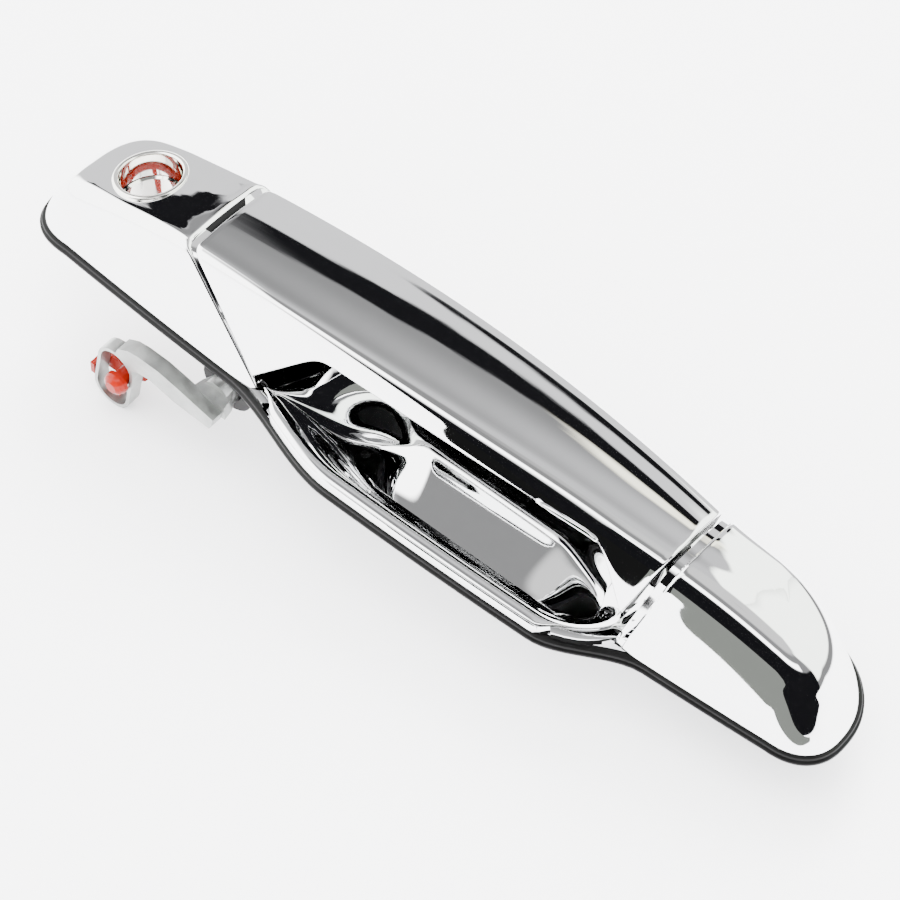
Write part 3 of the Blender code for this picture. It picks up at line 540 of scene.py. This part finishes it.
@dataclass
class CapSkin:
    """The bright skin of one end of the housing, laid just outside its solid."""

    finishes: Finishes
    end: int
    straight: int = 26
    corner: int = 30
    rows: int = 64
    wall: float = 0.12
    proud: float = 0.14
    crown: float = 0.55
    bulge: float = 0.35
    ledge: float = 2.3
    ledge_depth: float = 1.0
    spine_y: float = 5.7
    wall_depth: float = 6.0
    edge_round: float = 0.75
    round_steps: int = 5
    clear: float = 0.12
    lock_hole: float = 9.5

    def __post_init__(self) -> None:
        """Take the outlines and the gap plane of this end."""
        self.left = self.end == 0
        self.foot = foot_level(self.proud, FORM.front_line)
        self.crest = crest_level(self.proud)
        self.spine_end = -109.0 if self.left else 103.5
        self.gap = FORM.left_edge if self.left else FORM.right_edge
        room = self.edge_round + self.clear
        self.edge_room = -room * 1.3 if self.left else self.ledge + room
        self.extra = self.round_steps + (1 if self.left else 3)

    def guide(self, side: Side, q: float, u: float) -> tuple[Vector, Vector, Vector]:
        """The foot, the sharp crest and the spine point of a section.

        Args:
            side: The long side.
            q: The share of the straight part that lies behind, from 0 at the gap to 1 at the corner.
            u: The share of the corner, from 1 at the straight part to 0 at the middle of the end.

        Returns:
            The three points.
        """
        points = []
        for level, top in ((self.foot, False), (self.crest, True)):
            x, y = level.corner(self.end, side, u)
            z = FORM.face_height(x, y) + self.proud if top else 0.0
            if q < 1.0:
                for _ in range(3):
                    x = mix(self.gap(y, z) + self.edge_room, level.start(self.end, side), q)
                    y = level.lines[side.value](x)
                    z = FORM.face_height(x, y) + self.proud if top else 0.0
            points.append(Vector((x, y, z)))
        spine_x = mix(self.gap(self.spine_y, 30.0) + self.edge_room, self.spine_end, q)
        points.append(Vector((spine_x, self.spine_y, FORM.face_height(spine_x, self.spine_y) + self.proud)))
        return points[0], points[1], points[2]

    def section(self, side: Side, q: float, u: float, t: float) -> Vector:
        """A point of the section from the foot at t 0 to the spine at t 1."""
        foot, crest, spine = self.guide(side, q, u)
        rear_round = 4.5 + 2.5 * smooth((abs(crest.x) - 100.0) / 18.0)
        size = mix(FORM.crest_round(crest.x), rear_round, smooth((crest.y + 8.0) / 16.0))
        down, across = (foot - crest).normalized(), (spine - crest).normalized()
        low, high = crest + down * size, crest + across * size
        out = Vector((foot.x - spine.x, foot.y - spine.y, 0.0)).normalized() * self.bulge * smooth(3.0 * q)
        mid = foot.lerp(low, 0.5) + out
        rise = UP * self.crown
        points = [foot, foot.lerp(mid, 0.5) + out * 0.4, mid, low.lerp(mid, 0.35) + out * 0.3, low,
                  crest.lerp(low, 0.4), crest.lerp(high, 0.4), high, high.lerp(spine, 0.35) + rise * 0.6,
                  high.lerp(spine, 0.7) + rise, spine + rise]
        return flow(points, t)

    def place(self, s: float, t: float) -> Vector:
        """A point of the whole skin, s going round the end from front to rear."""
        half = self.extra + self.straight + self.corner
        index = round(s * 2 * half)
        side = Side.FRONT if index <= half else Side.REAR
        k = (index if side is Side.FRONT else 2 * half - index) - self.extra
        if k >= self.straight:
            return self.section(side, 1.0, 1.0 - (k - self.straight) / self.corner, t)
        if k >= 0:
            return self.section(side, k / self.straight, 1.0, t)
        edge = self.section(side, 0.0, 1.0, t)
        back = (self.section(side, 0.5 / self.straight, 1.0, t) - edge).normalized()
        core = Vector((self.gap(3.0, 14.0) + self.edge_room, 3.0, 14.0))
        down = (core - edge).normalized()
        if -k <= self.round_steps:
            return turned(edge, back, down, self.edge_round, -k / self.round_steps)
        over = edge - back * self.edge_round
        if self.left:
            return over + down * self.wall_depth
        depth, shift = ((self.ledge_depth, 0.0), (self.ledge_depth, self.ledge),
                        (self.wall_depth, self.ledge))[-k - self.round_steps - 1]
        return over + down * max(depth, self.edge_round * 1.1) - Vector((shift, 0.0, 0.0))

    def build(self) -> None:
        """Build the skin."""
        half = self.extra + self.straight + self.corner
        # The end columns, the deep walls down into the gap, take black plastic as painted shade in the gap.
        bm = face_up(curved_grid(2 * half, self.rows, self.place, 1))
        name = "cap_skin_left" if self.left else "cap_skin_right"
        obj = Piece(name, Body.HOUSING, "chrome", self.finishes["chrome"],
                    gap_shade=(self.finishes["black_plastic"],)).add(bm, 50.0)
        thicken(obj, self.wall)
        if self.left:
            hole = bmesh.new()
            place = Matrix.Translation(metres((FORM.lock_x, FORM.lock_y, 24.0)))
            radius = self.lock_hole * MM
            bmesh.ops.create_cone(hole, cap_ends=True, segments=96, radius1=radius, radius2=radius,
                                  depth=30.0 * MM, matrix=place)
            cut(obj, hole)
            obj.data.shade_smooth()
            obj.data.set_sharp_from_angle(angle=math.radians(50.0))


@dataclass
class BowlSkin:
    """The bright finger bowl under the paddle, with its rolled front rim."""

    finishes: Finishes
    around: int = 150
    rows: int = 70
    wall: float = 0.2
    rim_z: float = 2.9
    wall_z: float = 13.0
    floor_z: float = -9.5
    floor_y: float = -10.0
    floor_x0: float = -20.0
    floor_x1: float = 57.0
    floor_half: float = 8.0
    roll_out: float = 3.1
    deep_y: float = -16.0
    rear_lift: float = 5.2
    x0: float = -45.2
    x1: float = 68.2

    def front(self, x: float) -> float:
        """Front side of the rim."""
        end = max(0.0, (x - (self.x1 - 9.0)) / 9.0)
        return FORM.belly_line(x) + 3.2 + 5.0 * (1.0 - math.sqrt(max(0.0, 1.0 - end * end)))

    def rear(self, x: float) -> float:
        """Rear side of the rim."""
        start = smooth((x - self.x0) / 26.0)
        end = max(0.0, (x - (self.x1 - 5.0)) / 5.0)
        plateau = mix(self.front(self.x0), 5.4, start)
        return mix(self.front(x), plateau, math.sqrt(max(0.0, 1.0 - end * end)))

    def section(self, s: float, t: float) -> Vector:
        """A point of the bowl: s goes round it, t from the middle of the floor over the rim."""
        turn = math.tau * s
        share = 0.5 - 0.5 * math.cos(turn)
        x = mix(self.x0, self.x1, share)
        ahead = turn <= math.pi
        y = self.front(x) if ahead else self.rear(x)
        rim = Vector((x, y, mix(self.rim_z, self.wall_z, smooth((y + 13.0) / 17.0)) + 0.15))
        fx = mix(self.floor_x0, self.floor_x1, share)
        u = (2.0 * fx - self.floor_x0 - self.floor_x1) / (self.floor_x1 - self.floor_x0)
        half = self.floor_half * math.sqrt(max(0.0, 1.0 - u ** 4))
        floor = Vector((fx, self.floor_y - half if ahead else self.floor_y + half, self.floor_z + 0.2))
        centre = Vector((mix(-10.0, 50.0, share), self.deep_y, self.floor_z + 0.3))
        lift = 0.0 if ahead else self.rear_lift * smooth(4.0 * share) * smooth(4.0 * (1.0 - share))
        side = []
        for k in (0.12, 0.25, 0.4, 0.55, 0.7, 0.82, 0.92):
            z = mix(floor.z, rim.z, smooth(k)) + lift * (1.0 - smooth(k / 0.65))
            side.append(Vector((*floor.lerp(rim, k).xy, z)))
        floor.z += lift
        points = [centre, centre.lerp(floor, 0.5), floor] + side
        out = Vector((0.0, -1.0, 0.0)) if ahead else Vector((0.0, 1.0, 0.0))
        roll = self.roll_out * smooth((60.0 - x) / 8.0) * smooth((x + 44.0) / 6.0) + 0.6 if ahead else 0.8
        rise = 0.55 if ahead else 0.1
        points += [rim + UP * rise * 0.6, rim + out * roll * 0.35 + UP * rise,
                   rim + out * roll * 0.8 + UP * rise * 0.4, rim + out * roll - UP * 0.9,
                   rim + out * roll - UP * (rim.z - 0.2 if ahead else 2.2)]
        return flow(points, t)

    def build(self) -> None:
        """Build the bowl."""
        bm = face_up(curved_grid(self.around, self.rows, self.section))
        obj = Piece("bowl_skin", Body.HOUSING, "chrome", self.finishes["chrome"]).add(bm)
        thicken(obj, self.wall)


# ---------------------------------------------------------------- paddle

@dataclass
class Paddle:
    """The pull paddle: one bright shell with its screw posts."""

    finishes: Finishes
    columns: int = 130
    rows: int = 84
    wall: float = 0.5
    gap: float = 1.25
    crown: float = 0.75
    edge_round: float = 0.7
    round_steps: int = 5
    side_depth: float = 3.0
    heel_z: float = 8.5
    rear_round: float = 4.5
    post_y: float = 3.0
    post_x: tuple[float, ...] = (-48.0, -6.0, 16.0, 58.0)
    post_bore: float = 1.5
    post_round: float = 2.6
    heel_ends: tuple[float, float] = (-51.5, 69.9)
    skirt_ends: tuple[float, float] = (-49.6, 68.4)
    skirt_soft: float = 1.4

    def skirt(self, x: float) -> float:
        """Height of the skirt's lower edge: it drops towards both ends."""
        left, middle, right = 4.4 + (x + 49.0) * 0.95, 20.7 + 0.016 * (x + 27.0), 8.4 + (68.6 - x) * 1.25
        soft = self.skirt_soft
        return -soft * math.log(sum(math.exp(-z / soft) for z in (left, middle, right)))

    def section(self, s: float, t: float) -> Vector:
        """A point of the outer surface: s goes along it, t from the heel over the face to the skirt."""
        left = FORM.gap_left + self.gap * math.hypot(1.0, FORM.left_lean) + self.edge_round * 1.3
        right = FORM.gap_right - self.gap * math.hypot(1.0, FORM.right_lean) - self.edge_round
        x = mix(left, right, s)
        crest = Vector((x, FORM.crest_line(x), FORM.crest_height(x)))
        rear = Vector((x, FORM.rear_edge(x), FORM.face_height(x, FORM.rear_edge(x))))
        heel_x = mix(*self.heel_ends, s)
        heel = Vector((heel_x, FORM.back_line(heel_x) - FORM.wall_lean * self.heel_z / rear.z, self.heel_z))
        low_x = mix(*self.skirt_ends, s)
        low = FORM.wall(low_x, self.skirt(low_x))
        size = 0.9 * FORM.crest_round(x)
        rear_low = rear + (heel - rear).normalized() * self.rear_round
        rear_high = rear + (crest - rear).normalized() * self.rear_round
        high = crest + (rear - crest).normalized() * size
        down = crest + (low - crest).normalized() * size
        rise = UP * self.crown
        middle = down.lerp(low, 0.5)
        points = [heel, heel.lerp(rear_low, 0.5), rear_low, rear.lerp(rear_low, 0.4),
                  rear.lerp(rear_high, 0.4), rear_high, rear_high.lerp(high, 0.25) + rise * 0.75,
                  rear_high.lerp(high, 0.5) + rise, rear_high.lerp(high, 0.75) + rise * 0.75, high,
                  crest.lerp(high, 0.4), crest.lerp(down, 0.4), down,
                  FORM.wall(middle.x, middle.z) + Vector((0.0, -0.2, 0.0)), low + UP * 0.6, low,
                  low + Vector((0.0, 0.9, -0.1)), low + Vector((0.0, 2.4, 0.3))]
        return flow(points, t)

    def place(self, s: float, t: float) -> Vector:
        """A point of the whole shell, with its turned-in sides."""
        extra = self.round_steps + 1
        k = round(s * self.columns) - extra
        inner = self.columns - 2 * extra
        if 0 <= k <= inner:
            return self.section(k / inner, t)
        end, past = (0.0, -k) if k < 0 else (1.0, k - inner)
        edge = self.section(end, t)
        back = (self.section(abs(end - 0.5 / inner), t) - edge).normalized()
        core = Vector((FORM.left_edge(6.0, 12.0) if k < 0 else FORM.right_edge(6.0, 12.0), 6.0, 12.0))
        down = (core - edge).normalized()
        down = (down - back * down.dot(back)).normalized()
        if past <= self.round_steps:
            return turned(edge, back, down, self.edge_round, past / self.round_steps)
        return edge - back * self.edge_round + down * self.side_depth

    def build(self) -> None:
        """Build the shell and its posts."""
        # The end columns, the side walls down into the gaps, take black plastic as painted shade in the gaps.
        bm = face_up(curved_grid(self.columns, self.rows, self.place, 1))
        paddle = self.finishes["chrome_paddle"]
        shell = Piece("paddle_shell", Body.PADDLE, "chrome_paddle", paddle, ("paddle_skin",),
                      (self.finishes["black_plastic"],))
        thicken(shell.add(bm, 60.0), self.wall)
        for number, x in enumerate(self.post_x, 1):
            top = FORM.face_height(x, self.post_y)
            low, high = top - 5.4, top - 2.2
            profile = [(self.post_bore, low), (self.post_round, low),
                       (self.post_round, high), (self.post_bore, high)]
            post = lathe(profile, Vector((x, self.post_y, 0.0)), UP, 32)
            Piece(f"screw_post_{number}", Body.PADDLE, "chrome_paddle", paddle).add(post, 40.0)


# ---------------------------------------------------------------- small parts

@dataclass
class Gasket:
    """The rubber gasket round the foot, with a stepped outer side."""

    finishes: Finishes
    straight: int = 90
    corner: int = 26
    steps: tuple[tuple[float, float], ...] = (
        (1.25, -2.8), (1.5, -2.55), (1.5, -1.8), (1.3, -1.6), (0.98, -1.42), (0.9, -1.2), (0.9, -0.5),
        (0.7, -0.3), (-1.3, -0.3), (-1.3, -2.8), (1.25, -2.8))

    def place(self, s: float, t: float) -> Vector:
        """A point of the gasket: s goes round it, t round its section."""
        grow, z = self.steps[round(t * (len(self.steps) - 1))]
        level = foot_level(grow, FORM.belly_line)
        half = 2 * self.corner + self.straight
        index = round(s * 2 * half)
        side = Side.FRONT if index <= half else Side.REAR
        k = index if side is Side.FRONT else 2 * half - index
        if k < self.corner:
            return Vector((*level.corner(0, side, k / self.corner), z))
        if k > self.corner + self.straight:
            return Vector((*level.corner(1, side, (half - k) / self.corner), z))
        x = mix(level.start(0, side), level.start(1, side), (k - self.corner) / self.straight)
        return Vector((x, level.lines[side.value](x), z))

    def build(self) -> None:
        """Build the gasket."""
        around = 2 * (2 * self.corner + self.straight)
        bm = curved_grid(around, len(self.steps) - 1, self.place)
        bmesh.ops.recalc_face_normals(bm, faces=bm.faces)
        rubber = self.finishes["black_rubber"]
        Piece("gasket_seal", Body.HOUSING, "black_rubber", rubber, ("gasket",)).add(bm, 55.0)


@dataclass
class LockSleeve:
    """The bright liner of the lock bore, with a rounded lip on the sloping face."""

    finishes: Finishes
    outside: float = 9.3
    inside: float = 8.4
    step: float = 0.7
    lip_round: float = 0.85
    lip_rise: float = 0.62

    def build(self) -> None:
        """Build the sleeve."""
        height = FORM.face_height(FORM.lock_x, FORM.lock_y)
        slope = (FORM.face_height(FORM.lock_x + 8, 0.0) - FORM.face_height(FORM.lock_x - 8, 0.0)) / 16.0
        turn = [math.radians(degrees) for degrees in range(-10, 181, 19)]
        lip = [(self.inside + self.lip_round * (1.0 + math.cos(a)),
                height + 0.55 + self.lip_rise * math.sin(a)) for a in turn]
        profile = [(self.outside, 3.2), (self.outside, height - 0.4)] + lip
        profile += [(self.inside, height - 8.0), (self.inside - self.step, height - 8.6),
                    (self.inside - self.step, 3.2)]
        bm = lathe(profile, Vector((FORM.lock_x, FORM.lock_y, 0.0)), UP, 96)
        centre = metres((FORM.lock_x, FORM.lock_y, 0.0))
        for vert in bm.verts:
            if vert.co.z > metres((0.0, 0.0, height - 10.0)).z:
                vert.co.z += slope * (vert.co.x - centre.x) - FORM.face_fall * (vert.co.y - centre.y)
        liner = self.finishes["chrome_liner"]
        Piece("lock_liner", Body.HOUSING, "chrome_liner", liner, ("lock_sleeve",)).add(bm, 35.0)


@dataclass
class Refined:
    """A solid whose shape is right, copied so that its edges can be rounded."""

    node: str
    name: str
    body: Body
    slot: str
    finishes: Finishes
    round_off: float = 0.3

    def build(self) -> None:
        """Build the copy."""
        bm = bmesh.new()
        bm.from_mesh(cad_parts[self.node].data)
        bmesh.ops.remove_doubles(bm, verts=bm.verts, dist=2e-6)
        bmesh.ops.dissolve_limit(bm, angle_limit=math.radians(1.0), verts=bm.verts, edges=bm.edges)
        piece = Piece(self.name, self.body, self.slot, self.finishes[self.slot], (self.node,))
        obj = piece.add(bm, 32.0)
        soften(obj, self.round_off, 3, 32.0)


@dataclass
class HousingBody:
    """The housing's solid without the faces that lie under the bright skins."""

    finishes: Finishes
    skins: tuple[str, ...] = ("cap_skin_left", "cap_skin_right", "bowl_skin")
    reach: float = 1.8

    def covered(self, face: bmesh.types.BMFace, tree: BVHTree) -> bool:
        """Whether a skin lies close over every corner of a face and over its middle."""
        near = tree.find_nearest(face.calc_center_median(), self.reach * MM)
        if near[1] is None or near[1].dot(face.normal) < 0.3:
            return False
        return all(tree.find_nearest(vert.co, self.reach * MM)[0] is not None for vert in face.verts)

    def build(self) -> None:
        """Build the copy."""
        bm = bmesh.new()
        bm.from_mesh(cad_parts["housing"].data)
        bmesh.ops.remove_doubles(bm, verts=bm.verts, dist=2e-6)
        graph = bpy.context.evaluated_depsgraph_get()
        for name in self.skins:
            tree = BVHTree.FromObject(bpy.data.objects[name], graph)
            hidden = [face for face in bm.faces if self.covered(face, tree)]
            bmesh.ops.delete(bm, geom=hidden, context="FACES")
        Piece("housing_body", Body.HOUSING, "chrome", self.finishes["chrome"], ("housing",)).add(bm, 32.0)


class Hardware:
    """The solids that keep their shape and take a better finish."""

    SLOTS = {
        "lock_retainer": "orange_plastic", "paddle_carrier": "black_plastic",
        "hinge_pin": "zinc_plated_steel", "paddle_spring": "spring_steel", "lever_spring": "spring_steel",
        "lever_bush": "black_plastic", "lever_clip": "spring_steel", "lever_crank": "cast_zinc",
    }

    def __init__(self, finishes: Finishes) -> None:
        """Keep the finishes."""
        self.finishes = finishes

    def slot_of(self, node: str) -> str:
        """The finish of a solid, from its name."""
        if node in self.SLOTS:
            return self.SLOTS[node]
        if node.startswith("bumper"):
            return "black_rubber"
        return "spring_steel" if node.startswith("hinge_clip") else "zinc_plated_steel"

    def dress(self) -> None:
        """Give every kept solid its material."""
        for node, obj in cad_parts.items():
            material = self.finishes[self.slot_of(node)]
            for slot in obj.material_slots:
                slot.material = material
            LOG.info("%s keeps its shape", node)


# ---------------------------------------------------------------- studio

@dataclass(frozen=True)
class Patch:
    """A soft-edged area of the studio's surround: angles in degrees, azimuth 0 in front, + to the right."""

    azimuth: tuple[float, float]
    elevation: tuple[float, float]
    light: tuple[float, float, float]
    soft: tuple[float, float] = (4.0, 4.0)
    ragged: float = 0.0


@dataclass
class Studio:
    """Floor, surround, lamps and camera."""

    paper: tuple[float, float, float] = (0.93, 0.93, 0.935)
    tilt: float = 0.0875
    floor_z: float = -38.9
    floor_x: float = -96.0
    card_y: float = -0.25
    card_z: tuple[float, float] = (-0.045, 0.02)
    plain: tuple[float, float, float] = (5.6, 5.6, 5.65)
    rest: tuple[float, float, float] = (0.36, 0.36, 0.365)

    def floor(self) -> None:
        """A pale sheet of paper under the handle."""
        bm = bmesh.new()
        bmesh.ops.create_grid(bm, x_segments=2, y_segments=2, size=2.5)
        for vert in bm.verts:
            vert.co.z = metres((0.0, 0.0, self.floor_z)).z + self.tilt * (vert.co.x - self.floor_x * MM)
        mesh = bpy.data.meshes.new("floor")
        bm.to_mesh(mesh)
        bm.free()
        obj = bpy.data.objects.new("floor", mesh)
        bpy.context.scene.collection.objects.link(obj)
        paper = Finish("paper", self.paper, 0.0, 0.7, 0.05, 0.006, 0.004, 0.6, specular=0.1)
        mesh.materials.append(paper.make())

    def surround(self) -> None:
        """A surround that is plain where it is seen or lights, and a studio where it is mirrored."""
        world = bpy.data.worlds.new("studio")
        bpy.context.scene.world = world
        graph = Graph(world)
        place = graph.node("ShaderNodeTexCoord").outputs["Generated"]
        split = graph.node("ShaderNodeSeparateXYZ", None, {0: place})
        x, y, z = (Signal(graph, split.outputs[n]) for n in range(3))
        degree = 180.0 / math.pi
        azimuth = x.maths("ARCTAN2", x, y * -1.0) * degree
        elevation = z.maths("ARCSINE", z) * degree
        rough = graph.node("ShaderNodeTexNoise", None, {"Vector": place, "Scale": 9.0, "Detail": 5.0})
        ragged = Signal(graph, rough.outputs[0]) - 0.5
        colour: Any = rgba(self.rest)
        for patch in STUDIO_PATCHES:
            lift = elevation + ragged * patch.ragged
            drift = azimuth + ragged * patch.ragged
            mask = lift.band(*patch.elevation, patch.soft[1])
            if patch.azimuth != EVERYWHERE:
                mask = mask * drift.band(*patch.azimuth, patch.soft[0])
            colour = graph.blend(mask, colour, rgba(patch.light))
        path = graph.node("ShaderNodeLightPath")
        mirrored = Signal(graph, path.outputs["Is Glossy Ray"])
        colour = graph.blend(mirrored, rgba(self.plain), colour)
        back = graph.node("ShaderNodeBackground", None, {"Color": colour, "Strength": 1.0})
        graph.node("ShaderNodeOutputWorld", None, {"Surface": back.outputs[0]})

    def card(self, name: str, across: tuple[float, float], light: tuple[float, float, float]) -> None:
        """A low card in front of the handle, which only mirroring surfaces see."""
        bm = bmesh.new()
        turn = Matrix.Rotation(math.pi / 2, 4, "X")
        bmesh.ops.create_grid(bm, x_segments=1, y_segments=1, size=0.5, matrix=turn)
        for vert in bm.verts:
            vert.co.x = mix(across[0], across[1], vert.co.x + 0.5)
            vert.co.y = self.card_y
            vert.co.z = mix(*self.card_z, vert.co.z + 0.5)
        mesh = bpy.data.meshes.new(name)
        bm.to_mesh(mesh)
        bm.free()
        obj = bpy.data.objects.new(name, mesh)
        bpy.context.scene.collection.objects.link(obj)
        material = bpy.data.materials.new(name)
        graph = Graph(material)
        graph.shader({"Base Color": (0.0, 0.0, 0.0, 1.0), "Roughness": 1.0, "Specular IOR Level": 0.0,
                      "Emission Color": rgba(light), "Emission Strength": 1.0})
        mesh.materials.append(material)
        obj.visible_camera = obj.visible_diffuse = obj.visible_shadow = False

    def lamp(self, name: str, place: Sequence[float], size: float, power: float) -> None:
        """A square soft lamp that looks at the handle; it isn't mirrored in the chrome."""
        light = bpy.data.lights.new(name, "AREA")
        light.size, light.energy = size, power
        lamp = bpy.data.objects.new(name, light)
        lamp.location = place
        lamp.rotation_mode = "QUATERNION"
        lamp.rotation_quaternion = (-Vector(place)).to_track_quat("-Z", "Y")
        lamp.visible_glossy = False
        lamp.visible_camera = False
        bpy.context.scene.collection.objects.link(lamp)

    def camera(self) -> None:
        """The camera: above the plain end, looking down across the handle."""
        data = bpy.data.cameras.new("camera")
        data.sensor_width, data.lens = 36.0, 174.6
        data.clip_start, data.clip_end = 0.05, 20.0
        camera = bpy.data.objects.new("camera", data)
        right = Vector((0.7604, 0.6494, 0.0))
        ahead = Vector((-0.3817, 0.4470, -0.8090))
        turn = Matrix((right, right.cross(ahead), -ahead)).transposed()
        camera.matrix_world = Matrix.Translation(metres((421.6, -491.7, 889.9))) @ turn.to_4x4()
        bpy.context.scene.collection.objects.link(camera)
        bpy.context.scene.camera = camera

    def build(self) -> None:
        """Build the studio."""
        self.camera()
        self.floor()
        self.surround()
        self.card("card_black", (-0.075, 0.012), (0.012, 0.012, 0.012))
        self.card("card_grey", (0.012, 0.4), (0.34, 0.36, 0.33))
        self.lamp("lamp_rear", (-0.7, 1.2, 1.5), 1.0, 70.0)
        self.lamp("lamp_top", (0.2, -0.3, 1.8), 1.4, 40.0)


EVERYWHERE = (-180.0, 180.0)
WHITE = (7.0, 7.0, 7.0)
STUDIO_PATCHES = (
    Patch(EVERYWHERE, (-90.0, 4.0), (5.0, 5.0, 5.0), (4.0, 3.0)),
    Patch((-180.0, -104.0), (54.0, 80.0), (1.0, 1.0, 1.02), (14.0, 9.0)),
    Patch(EVERYWHERE, (72.0, 91.0), (1.2, 1.2, 1.2), (4.0, 4.0)),
    Patch((-181.0, -100.0), (-4.0, 38.0), (1.3, 1.3, 1.32), (6.0, 2.0)),
    Patch((-181.0, -137.0), (36.5, 44.0), (0.012, 0.012, 0.014), (5.0, 0.7), 7.0),
    Patch((-137.0, -108.0), (28.5, 39.0), (0.012, 0.012, 0.014), (5.0, 0.7), 14.0),
    Patch((-181.0, -151.5), (44.5, 51.0), (3.2, 3.1, 2.5), (1.5, 1.5), 8.0),
    Patch((-181.0, -163.0), (28.0, 72.0), (4.6, 4.8, 4.5), (2.0, 3.0), 2.0),
    Patch((95.0, 181.0), (20.0, 72.0), (4.6, 4.8, 4.5), (6.0, 3.0)),
    Patch((-25.0, 60.0), (47.0, 58.0), WHITE, (2.0, 2.0)),
    Patch((-25.0, 95.0), (-90.0, 45.0), (0.010, 0.010, 0.012), (2.0, 2.5), 2.0),
    Patch((-108.0, -26.5), (-90.0, 59.0), WHITE, (4.0, 2.5)),
)


def main() -> None:
    """Build the scene in order."""
    logging.basicConfig(level=logging.INFO, format="%(name)s: %(message)s")
    Studio().build()
    finishes = Finishes()
    Hardware(finishes).dress()
    CapSkin(finishes, 0).build()
    CapSkin(finishes, 1).build()
    BowlSkin(finishes).build()
    HousingBody(finishes).build()
    Paddle(finishes).build()
    Gasket(finishes).build()
    LockSleeve(finishes).build()
    Refined("bellcrank_lever", "cast_lever", Body.LEVER, "cast_zinc", finishes, 0.45).build()
    Refined("rod_clip", "orange_rod_clip", Body.ROD_CLIP, "orange_plastic", finishes, 0.3).build()


if __name__ == "__main__":
    main()
